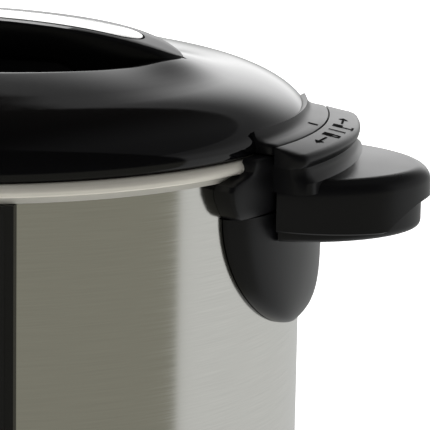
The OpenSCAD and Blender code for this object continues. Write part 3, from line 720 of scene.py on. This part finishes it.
class COOKER_OT_handles(bpy.types.Operator):
    """Models each side handle: ledge, neck, bracket, grip, lower shell and shield"""
    bl_idname = "cooker.handles"
    bl_label = "Side handles"

    def execute(self, context):
        for side, name in ((1, "right"), (-1, "left")):
            ledge = self.ledge(side, name)
            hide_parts("handle_" + name)
            others = (self.neck(side, name), self.bracket(side, name), self.grip(side, name))
            under = self.under(side, name)
            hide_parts("grip_under_" + name)
            shield = self.shield(side, name)
            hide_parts("shield_" + name)
            self.marks(side, name)
        return {"FINISHED"}

    def ledge(self, side, name):
        """The raised ledge that carries the marks, beyond the lid's ear."""
        size = sizes()
        a, b = size.ledge_in, size.ledge_out
        profile = [(a, 4.0 * MM), (a, -2.6 * MM), (b - 2.2 * MM, -2.9 * MM), (b - 1.0 * MM, -2.5 * MM),
                   (b - 0.3 * MM, -1.7 * MM), (b, -0.6 * MM), (b - 0.05 * MM, 0.4 * MM),
                   (b - 0.5 * MM, 1.2 * MM), (b - 1.3 * MM, 1.85 * MM), (b - 2.4 * MM, 2.25 * MM)]
        return swept("ledge_" + name, profile, EAR_ANGLE, 5 * MM, "root", FINISHES["satin_black"],
                     side)

    def neck(self, side, name):
        """The waisted block between the ledge and the grip."""
        b = sizes().ledge_out
        a = BODY_R + 6 * MM
        profile = [(a, -12 * MM), (b + 1.2 * MM, -12 * MM), (b + 1.0 * MM, -8.0 * MM),
                   (b - 0.4 * MM, -6.8 * MM), (b - 1.2 * MM, -5.4 * MM), (b - 1.5 * MM, -4.0 * MM),
                   (b - 1.6 * MM, -2.6 * MM), (a, -2.6 * MM)]
        return swept("neck_" + name, profile, EAR_ANGLE - math.radians(1.0), 6 * MM, "root",
                     FINISHES["satin_black"], side)

    def bracket(self, side, name):
        """The block that clamps over the rim and meets the shield below."""
        levels = (
            (-20.0, 131.0, 25.6), (-19.4, 132.2, 26.4), (-18.0, 132.9, 27.1), (-15.5, 133.2, 27.8),
            (-12.0, 133.4, 28.6), (-9.0, 133.4, 28.8), (-7.2, 133.2, 28.3), (-6.2, 133.0, 27.0),
            (-5.2, 132.9, 25.2), (-4.3, 132.9, 24.2), (-3.4, 133.0, 23.8), (-0.5, 133.4, 23.7),
            (0.3, 133.2, 23.5), (0.8, 132.6, 23.1))
        rings = []
        for z, outer, degrees in levels:
            inner = BODY_R + (0.1 if z < -6.9 else 1.3 if z < -4.2 else 3.2) * MM
            rings.append(turned(self.arc_block(inner, BODY_R + (outer - 125) * MM,
                                               math.radians(degrees), RIM_Z + z * MM), side))
        return loft("bracket_" + name, rings, "root", FINISHES["black_plastic"])

    def arc_block(self, inner, outer, half, z, steps=28, round_=1.6 * MM):
        """Closed outline between two arcs, its outer corners rounded."""
        points = []
        trim = round_ / outer
        for i in range(steps + 1):
            points.append(polar(outer, -half + trim + (2 * half - 2 * trim) * i / steps, z))
        for s in (0.3, 0.7, 1.0):
            points.append(polar(outer - round_ * s * s, half - trim * (1 - s) ** 1.5, z))
        for i in range(steps + 1):
            points.append(polar(inner, half - 2 * half * i / steps, z))
        for s in (1.0, 0.7, 0.3):
            points.append(polar(outer - round_ * s * s, -half + trim * (1 - s) ** 1.5, z))
        return points

    def plan(self, inset, z, count=72, chord=20):
        """Outline of the grip at one level: a blunt oval, closed by a straight inner side."""
        wide, long = GRIP_W - inset, GRIP_END - GRIP_START - inset
        power = 2 / 1.8
        points = []
        for i in range(count + 1):
            a = -math.pi / 2 + math.pi * i / count
            x = long * abs(math.cos(a)) ** power
            y = math.copysign(wide * abs(math.sin(a)) ** power, math.sin(a))
            points.append(Vector((GRIP_START + x, y, RIM_Z + z)))
        for i in range(1, chord):
            points.append(Vector((GRIP_START, wide - 2 * wide * i / chord, RIM_Z + z)))
        return points

    def skirt_low(self, point):
        """Lower edge of the grip's skirt: it drops outward and is cut up in a notch at the end."""
        low = -26.0 * MM - (point.x - GRIP_START) * 0.055
        notch = max(0.0, 1 - (abs(point.y) / (25 * MM)) ** 2.6)
        far = min(1.0, max(0.0, (point.x - GRIP_START - 26 * MM) / (8 * MM)))
        return RIM_Z + low + 9.6 * MM * notch * far

    def grip(self, side, name):
        """The hollow upper shell that the hand holds, with its rolled top edge and skirt."""
        top = -sizes().grip_z
        rings = [self.plan(2.6 * MM, top - 3 * MM), self.plan(2.6 * MM, top - 8 * MM)]
        for inset in (2.6 * MM, 2.2 * MM, 0.5 * MM, 0.0):
            ring = self.plan(inset, 0)
            for p in ring:
                p.z = self.skirt_low(p) + (0.5 * MM if inset in (0.0, 2.6 * MM) else 0.0)
            rings.append(ring)
        rings += [self.plan(0.0, top - 9 * MM)]
        roll = 5.5 * MM
        for i in range(9):
            a = math.pi / 2 * i / 8
            rings.append(self.plan(roll * (1 - math.cos(a)), top - roll + roll * math.sin(a)))
        rings = [turned(ring, side) for ring in rings]
        return loft("grip_" + name, rings, "root", FINISHES["satin_black"])

    def under(self, side, name):
        """The lower shell that closes the grip from below."""
        rings = [self.plan(3.2 * MM, -14 * MM)]
        low = -27.5 * MM
        for i in range(7):
            a = math.pi / 2 * i / 6
            rings.append(self.plan(3.2 * MM + 3 * MM * (1 - math.cos(a)), low - 3 * MM * math.sin(a)))
        rings = [turned(ring, side) for ring in rings]
        return loft("grip_lower_" + name, rings, "root", FINISHES["black_plastic"])

    def shield(self, side, name):
        """The rounded tongue that stands off the housing under the grip."""
        height = sizes().shield_h
        rings = []
        steps = 40
        for i in range(steps + 1):
            v = math.sin(math.pi / 2 * i / steps) * 0.9995
            half = math.radians(26.5) * (1 - v ** 1.9) ** 0.5
            swell = 7.5 * MM * (1 - v ** 7) ** 0.5
            z = RIM_Z - 20 * MM - height * v
            ring = []
            for j in range(49):
                u = math.sin(math.pi / 2 * (j / 24 - 1))
                bow = max(0.0, 1 - abs(u) ** 7) ** 0.5
                ring.append(polar(BODY_R + 0.3 * MM + swell * bow, half * u, z))
            for j in range(1, 20):
                ring.append(polar(BODY_R + 0.1 * MM, half * (1 - j / 10), z))
            rings.append(turned(ring, side))
        return loft("shield_face_" + name, rings, "root", FINISHES["satin_black"])

    def marks(self, side, name):
        """Generic lid marks: a divider, an arrow to each side, and an open and a closed padlock."""
        size = sizes()
        mid = (size.ledge_in + size.ledge_out) / 2
        bar = mark_box("ledge_divider_" + name, mid - 3.4 * MM, mid + 2.8 * MM, 0.45 * MM,
                       ledge_height, side, "root")
        for way, label in ((-1, "closed"), (1, "open")):
            bm = bmesh.new()
            for part in self.padlock(way > 0) + self.arrow():
                face = bm.faces.new([bm.verts.new((x, y, 0)) for x, y in part])
                made = bmesh.ops.extrude_face_region(bm, geom=[face])["geom"]
                for g in made:
                    if isinstance(g, bmesh.types.BMVert):
                        g.co.z = INK
            for v in bm.verts:
                radius = mid + (1.35 * v.co.x - 0.6) * MM
                angle = way * (1.35 * v.co.y + 9) * MM / mid
                point = polar(radius, angle, RIM_Z + ledge_height(radius) + v.co.z)
                v.co = turned([point], side)[0]
            piece = finish_mesh("ledge_" + label + "_" + name, bm, "root", FINISHES["mark"])

    def padlock(self, is_open):
        """Padlock outline in millimetres: a body and the two legs and top of its shackle."""
        lift = 1.0 if is_open else 0.0
        body = [(-2.0, -1.6), (0.6, -1.6), (0.6, 1.6), (-2.0, 1.6)]
        legs = [[(0.6, s - 0.3), (2.0 + lift, s - 0.3), (2.0 + lift, s + 0.3), (0.6, s + 0.3)]
                for s in ((-1.0,) if is_open else (-1.0, 1.0))]
        top = [(2.0 + lift, -1.3), (2.6 + lift, -1.0), (2.6 + lift, 1.0), (2.0 + lift, 1.3)]
        return [body, top] + legs

    def arrow(self):
        shaft = [(-0.3, 4.0), (0.3, 4.0), (0.3, 9.5), (-0.3, 9.5)]
        head = [(-1.3, 9.5), (1.3, 9.5), (0.0, 12.0)]
        return [shaft, head]


# ---- rim and housing

class COOKER_OT_body(bpy.types.Operator):
    """Models the brushed housing and the bright skin of the rolled lip"""
    bl_idname = "cooker.body"
    bl_label = "Housing and rim"

    def execute(self, context):
        shell = lathe("housing_skin", [
            (BODY_R, SHELL_LOW), (BODY_R, SHELL_HIGH), (BODY_R - 0.8 * MM, SHELL_HIGH),
            (BODY_R - 0.8 * MM, SHELL_LOW)], "root", FINISHES["brushed_steel"])
        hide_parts("housing_shell")
        lip = lathe("rolled_lip", self.lip_section(), "root", FINISHES["lip_steel"])
        return {"FINISHED"}

    def lip_section(self):
        """Bright skin on the pot's lip: flat on top, then one large roll down to the collar."""
        top, low = RIM_Z + 0.12 * MM, RIM_Z - 4.3 * MM
        section = [(BODY_R - 4 * MM, top)]
        reach, roll = BODY_R + 4.4 * MM, 3.0 * MM
        for i in range(13):
            a = math.pi / 2 * i / 12
            section.append((reach - roll + roll * math.sin(a), top - roll + roll * math.cos(a)))
        section += [(reach - 0.2 * MM, low + 0.5 * MM), (reach - 0.8 * MM, low), (BODY_R + 1.2 * MM, low)]
        section += [(BODY_R + 1.2 * MM, low + 0.4 * MM), (reach - 3.2 * MM, low + 0.4 * MM),
                    (reach - 3.2 * MM, top - 0.3 * MM), (BODY_R - 4 * MM, top - 0.3 * MM)]
        return section


# ---- front panel

def bar_sign(x, z, half_x, half_z):
    """A rectangle of a key's sign, in millimetres from the key's middle."""
    return [(x - half_x, z - half_z), (x + half_x, z - half_z), (x + half_x, z + half_z),
            (x - half_x, z + half_z)]


KEY_SIGNS = {
    "key_rice": [bar_sign(x, 0, 0.3, 0.8) for x in (-1.2, 0, 1.2)],
    "key_soup": [bar_sign(0, 0.6, 1.8, 0.2), [(-1.6, 0.2), (-0.9, -1.2), (0.9, -1.2), (1.6, 0.2)]],
    "key_meat": [[(-1.5, 0), (0, -1.1), (1.5, 0), (0, 1.1)]],
    "key_plus": [bar_sign(-1.05, 0, 0.75, 0.25), bar_sign(1.05, 0, 0.75, 0.25), bar_sign(0, 0, 0.25, 1.8)],
    "key_timer": [bar_sign(0, 0.75, 0.2, 1.0), bar_sign(0.65, -0.5, 0.85, 0.2)],
    "key_minus": [bar_sign(0, 0, 1.8, 0.25)],
    "key_warm": [bar_sign(0, z, 1.5, 0.22) for z in (-1.1, 0, 1.1)],
    "key_start": [[(-1.0, -1.4), (1.6, 0), (-1.0, 1.4)]],
    "key_cancel": [bar_sign(0, 0, 1.2, 1.2)],
}


class COOKER_OT_panel_marks(bpy.types.Operator):
    """Adds the lit digits and a small mark on each key"""
    bl_idname = "cooker.panel_marks"
    bl_label = "Panel marks"

    def execute(self, context):
        low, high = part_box("display_window")
        depth = low.y - 0.03 * MM
        middle = (low.z + high.z) / 2
        bm = bmesh.new()
        for place_x in (-14, -3, 9):
            for segment in "abcdef":
                self.bar(bm, place_x, segment, middle, depth)
        for z in (-2.2, 2.2):
            self.box(bm, 3.1, z, 0.7, 0.7, middle, depth)
        piece = finish_mesh("display_digits", bm, "root", FINISHES["digit"])
        face = max(-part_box(key)[0].y for key in KEY_SIGNS)
        for key, sign in KEY_SIGNS.items():
            self.sign(key, sign, face)
        return {"FINISHED"}

    def sign(self, key, sign, face):
        """Prints a sign on a key's round face, which looks straight out from the body's axis."""
        low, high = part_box(key)
        middle = (low + high) / 2
        angle = math.atan2(middle.x, -middle.y)
        bm = bmesh.new()
        for outline in sign:
            flat = bm.faces.new([bm.verts.new((x * MM, -face, z * MM)) for x, z in outline])
            made = bmesh.ops.extrude_face_region(bm, geom=[flat])["geom"]
            for g in made:
                if isinstance(g, bmesh.types.BMVert):
                    g.co.y -= 0.06 * MM
        place_it = Matrix.Translation((0, 0, middle.z)) @ Matrix.Rotation(angle, 4, "Z")
        bmesh.ops.transform(bm, matrix=place_it, verts=bm.verts)
        piece = finish_mesh(key + "_sign", bm, key, FINISHES["white_mark"])

    def bar(self, bm, x, segment, middle, depth):
        """One lit segment of a digit, clockwise from a at the top."""
        wide, tall, t = 3.2, 5.6, 0.55
        where = {"a": (0, tall, wide, t), "d": (0, -tall, wide, t),
                 "b": (wide, tall / 2, t, tall / 2 - 0.4), "c": (wide, -tall / 2, t, tall / 2 - 0.4),
                 "f": (-wide, tall / 2, t, tall / 2 - 0.4), "e": (-wide, -tall / 2, t, tall / 2 - 0.4)}
        dx, dz, w, h = where[segment]
        self.box(bm, x + dx, dz, w, h, middle, depth)

    def box(self, bm, x, z, wide, tall, middle, depth):
        """A thin lit block just in front of the display window, which is part of a drum."""
        centre = Vector((x * MM, 0, middle + z * MM))
        centre.y = -math.sqrt(depth ** 2 - centre.x ** 2)
        size = Matrix.Diagonal((2 * wide * MM, 0.12 * MM, 2 * tall * MM, 1))
        bmesh.ops.create_cube(bm, size=1, matrix=Matrix.Translation(centre) @ size)


# ---- finishes on the frame's own nodes

class COOKER_OT_finishes(bpy.types.Operator):
    """Gives every node of the frame its finish"""
    bl_idname = "cooker.finishes"
    bl_label = "Finishes"

    def execute(self, context):
        slots = {row["node"]: row["material_slot"] for row in frame["record"]["subparts"]}
        for node, piece in frame["nodes"].items():
            piece.data.materials.clear()
            piece.data.materials.append(FINISHES[slots[node]])
        return {"FINISHED"}


# ---- stage

CAMERA_AT = Vector((321.6, -943.5, 177.8)) * MM         # from the middle of the rim
CAMERA_AHEAD = Vector((-0.2274, 0.9508, -0.2103))
CAMERA_UP = Vector((-0.0669, 0.2002, 0.9775))
CAMERA_LENS = 228.07
FLOOR_HALF = 6.0
FRONT_LOW, FRONT_HIGH = (0.21, 0.207, 0.172), (0.02, 0.019, 0.017)
BACK_LOW, BACK_HIGH = (0.55, 0.557, 0.55), (0.2, 0.2, 0.2)
BACK_BRIGHT, BACK_RIGHT = (1.9, 1.9, 1.9), (0.4, 0.4, 0.4)
CEILING, CEILING_RIGHT = (0.02, 0.018, 0.016), (0.1, 0.1, 0.1)


class COOKER_OT_stage(bpy.types.Operator):
    """Sets the floor, the lights and the camera"""
    bl_idname = "cooker.stage"
    bl_label = "Stage"

    def execute(self, context):
        self.floor()
        self.world()
        self.lights()
        self.camera()
        return {"FINISHED"}

    def floor(self):
        bm = bmesh.new()
        bmesh.ops.create_grid(bm, x_segments=1, y_segments=1, size=FLOOR_HALF)
        mesh = bpy.data.meshes.new("floor")
        bm.to_mesh(mesh)
        bm.free()
        piece = bpy.data.objects.new("floor", mesh)
        context_link(piece)
        mat, tree, shader = new_material("floor_white", (0.9, 0.9, 0.9), 0.6)
        clouds = noise(tree, object_coords(tree), 4.0)
        tint(tree, shader, clouds, (0.9, 0.9, 0.9), (0.92, 0.92, 0.92))
        shader.inputs["Emission Color"].default_value = (1, 1, 1, 1)
        shader.inputs["Emission Strength"].default_value = 1.0
        mesh.materials.append(mat)
        piece.visible_glossy = False

    def world(self):
        """A pale studio: bright behind the cooker, dim on the camera's side, white as a backdrop."""
        world = bpy.data.worlds.new("studio")
        world.use_nodes = True
        tree = world.node_tree
        coords = tree.nodes.new("ShaderNodeTexCoord")
        split = tree.nodes.new("ShaderNodeSeparateXYZ")
        tree.links.new(coords.outputs["Generated"], split.inputs["Vector"])
        lean = math_node(tree, "MULTIPLY", split.outputs["X"], -0.064)
        side = math_node(tree, "ADD", split.outputs["Y"], lean)
        behind = blend_range(tree, side, -0.02, 0.02)
        above = blend_range(tree, split.outputs["Z"], -0.08, 0.1)
        front = mix_colour(tree, above, FRONT_LOW, FRONT_HIGH)
        right_end = blend_range(tree, split.outputs["X"], -0.05, 0.4)
        low_wall = mix_colour(tree, right_end, BACK_BRIGHT, BACK_RIGHT)
        wall = mix_colour(tree, above, BACK_LOW, low_wall)
        high = blend_range(tree, split.outputs["Z"], 0.24, 0.54)
        wall = mix_colour(tree, high, wall, BACK_HIGH)
        ceiling = mix_colour(tree, right_end, CEILING, CEILING_RIGHT)
        overhead = blend_range(tree, split.outputs["Z"], 0.565, 0.585)
        back = mix_colour(tree, overhead, wall, ceiling)
        around = mix_colour(tree, behind, front, back)
        rays = tree.nodes.new("ShaderNodeLightPath")
        shown = mix_colour(tree, rays.outputs["Is Camera Ray"], around, (1.0, 1.0, 1.0))
        tree.links.new(shown, tree.nodes["Background"].inputs["Color"])
        bpy.context.scene.world = world

    def lights(self):
        """A soft overhead sun that fills, but doesn't mirror in the polished pieces."""
        data = bpy.data.lights.new("overhead", "SUN")
        data.energy = 0.9
        data.angle = math.radians(60)
        lamp = bpy.data.objects.new("overhead", data)
        context_link(lamp)
        lamp.rotation_euler = (math.radians(8), math.radians(-12), 0)
        lamp.visible_glossy = False

    def camera(self):
        """The camera looks along a fixed direction from a place given from the rim's centre."""
        data = bpy.data.cameras.new("camera")
        data.sensor_width = 36
        data.lens = CAMERA_LENS
        data.clip_start = 0.05
        data.clip_end = 50
        cam = bpy.data.objects.new("camera", data)
        context_link(cam)
        cam.location = CAMERA_AT + Vector((0, 0, RIM_Z))
        ahead = CAMERA_AHEAD.normalized()
        right = ahead.cross(CAMERA_UP).normalized()
        up = right.cross(ahead).normalized()
        cam.rotation_mode = "QUATERNION"
        turn = Matrix((right, up, -ahead)).transposed()
        cam.rotation_quaternion = turn.to_quaternion()
        bpy.context.scene.camera = cam
        bpy.context.scene.view_settings.view_transform = "Standard"


def context_link(piece):
    """Puts an object in the scene."""
    bpy.context.scene.collection.objects.link(piece)


def blend_range(tree, value, low, high):
    """0 below low, 1 above high, smooth between."""
    node = tree.nodes.new("ShaderNodeMapRange")
    node.interpolation_type = "SMOOTHSTEP"
    node.inputs["From Min"].default_value = low
    node.inputs["From Max"].default_value = high
    tree.links.new(value, node.inputs["Value"])
    return node.outputs["Result"]


def mix_colour(tree, factor, first, second):
    """A blend of two colours, each a tuple or another node's output."""
    node = tree.nodes.new("ShaderNodeMix")
    node.data_type = "RGBA"
    tree.links.new(factor, node.inputs[0])
    for socket, value in zip(node.inputs[6:8], (first, second)):
        if isinstance(value, tuple):
            socket.default_value = (*value, 1)
        else:
            tree.links.new(value, socket)
    return node.outputs[2]


# ---- panel and registration

class COOKER_PT_panel(bpy.types.Panel):
    """Lists the cooker's pieces and sizes"""
    bl_idname = "COOKER_PT_panel"
    bl_label = "Pressure cooker"
    bl_space_type = "VIEW_3D"
    bl_region_type = "UI"
    bl_category = "Cooker"

    def draw(self, context):
        for name in CookerSizes.__annotations__:
            self.layout.prop(context.scene.cooker_sizes, name)
        for name in CookerFinish.__annotations__:
            self.layout.prop(context.scene.cooker_finish, name)
        for operator in OPERATORS:
            self.layout.operator(operator.bl_idname)


OPERATORS = (COOKER_OT_finishes, COOKER_OT_body, COOKER_OT_lid, COOKER_OT_bar, COOKER_OT_ears,
             COOKER_OT_handles, COOKER_OT_panel_marks, COOKER_OT_stage)
CLASSES = (CookerSizes, CookerFinish) + OPERATORS + (COOKER_PT_panel,)


def register():
    for cls in CLASSES:
        bpy.utils.register_class(cls)
    bpy.types.Scene.cooker_sizes = bpy.props.PointerProperty(type=CookerSizes)
    bpy.types.Scene.cooker_finish = bpy.props.PointerProperty(type=CookerFinish)


def unregister():
    del bpy.types.Scene.cooker_finish
    del bpy.types.Scene.cooker_sizes
    for cls in reversed(CLASSES):
        bpy.utils.unregister_class(cls)


def main():
    register()
    make_finishes()
    bpy.ops.cooker.finishes()
    bpy.ops.cooker.body()
    bpy.ops.cooker.lid()
    bpy.ops.cooker.bar()
    bpy.ops.cooker.ears()
    bpy.ops.cooker.handles()
    bpy.ops.cooker.panel_marks()
    bpy.ops.cooker.stage()


if __name__ == "__main__":
    main()
